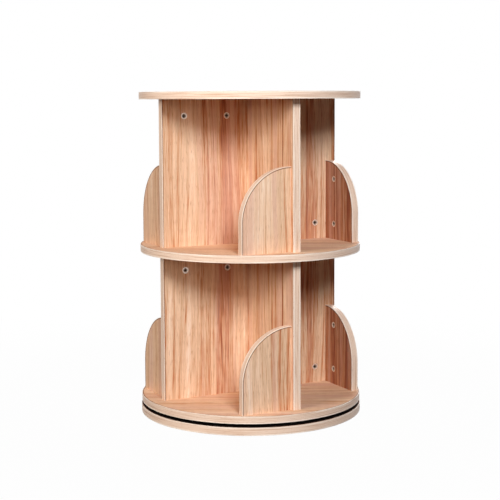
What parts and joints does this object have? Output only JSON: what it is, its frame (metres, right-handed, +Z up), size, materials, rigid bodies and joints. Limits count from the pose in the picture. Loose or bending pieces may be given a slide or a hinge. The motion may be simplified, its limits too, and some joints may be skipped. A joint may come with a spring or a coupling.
{
  "type": "revolving bookcase",
  "caption": "Round two-tier revolving bookcase on a ring bearing, with a cross of dividers on each tier and quarter-round end stops.",
  "frame": {"origin": "on the floor, at the middle of the base, on the axis that the shelves turn about", "axes": "+Z up along the spin axis; the long dividers run along Y and the short ones along X"},
  "size_m": [0.462, 0.462, 0.669],
  "materials": {
    "round_board": "satin wood-grain laminate on particle board, grain across the board",
    "divider": "satin wood-grain laminate on particle board, grain upright",
    "end_stop": "satin wood-grain laminate on particle board, grain upright",
    "edge_band": "pale layered wood-look edge band",
    "cam_lock": "die-cast zinc, zinc plated",
    "cam_bolt": "zinc plated steel",
    "dowel": "plain beech",
    "bearing_ring": "turned aluminium",
    "bearing_ball": "polished bearing steel",
    "ball_spacer": "natural nylon",
    "ring_screw": "zinc plated steel",
    "foot_pad": "matt black rubber"
  },
  "bodies": {
    "base": {"base_board": "round_board", "base_board_band": "edge_band", "foot_pads": "foot_pad", "bearing_outer_ring": "bearing_ring", "outer_ring_screws": "ring_screw"},
    "ball_ring": {"bearing_balls": "bearing_ball", "bearing_ball_spacer": "ball_spacer"},
    "carousel": {"bearing_inner_ring": "bearing_ring", "bottom_shelf": "round_board", "bottom_shelf_band": "edge_band", "bottom_shelf_cam_bolts": "cam_bolt", "inner_ring_screws": "ring_screw", "lower_back_divider_band": "edge_band", "lower_back_end_stop": "end_stop", "lower_back_end_stop_band": "edge_band", "lower_cross_dowels": "dowel", "lower_divider_cams": "cam_lock", "lower_dowels": "dowel", "lower_end_stop_cam_bolts": "cam_bolt", "lower_end_stop_cams": "cam_lock", "lower_front_divider_band": "edge_band", "lower_front_end_stop": "end_stop", "lower_front_end_stop_band": "edge_band", "lower_left_divider": "divider", "lower_left_divider_band": "edge_band", "lower_left_end_stop": "end_stop", "lower_left_end_stop_band": "edge_band", "lower_long_divider": "divider", "lower_right_divider": "divider", "lower_right_divider_band": "edge_band", "lower_right_end_stop": "end_stop", "lower_right_end_stop_band": "edge_band", "middle_shelf": "round_board", "middle_shelf_band": "edge_band", "middle_shelf_cam_bolts": "cam_bolt", "top_board": "round_board", "top_board_band": "edge_band", "top_board_cam_bolts": "cam_bolt", "upper_back_divider_band": "edge_band", "upper_back_end_stop": "end_stop", "upper_back_end_stop_band": "edge_band", "upper_cross_dowels": "dowel", "upper_divider_cams": "cam_lock", "upper_dowels": "dowel", "upper_end_stop_cam_bolts": "cam_bolt", "upper_end_stop_cams": "cam_lock", "upper_front_divider_band": "edge_band", "upper_front_end_stop": "end_stop", "upper_front_end_stop_band": "edge_band", "upper_left_divider": "divider", "upper_left_divider_band": "edge_band", "upper_left_end_stop": "end_stop", "upper_left_end_stop_band": "edge_band", "upper_long_divider": "divider", "upper_right_divider": "divider", "upper_right_divider_band": "edge_band", "upper_right_end_stop": "end_stop", "upper_right_end_stop_band": "edge_band"}
  },
  "joints": [
    {"name": "carousel_spin", "type": "hinge", "parent": "base", "child": "carousel", "pos_m": [0, 0, 0.0205], "axis": [0, 0, 1], "continuous": true},
    {"name": "ball_ring_spin", "type": "hinge", "parent": "base", "child": "ball_ring", "pos_m": [0, 0, 0.0205], "axis": [0, 0, 1], "continuous": true}
  ],
  "couplings": [
    {"joint": "ball_ring_spin", "follows": "carousel_spin", "ratio": 0.5}
  ]
}
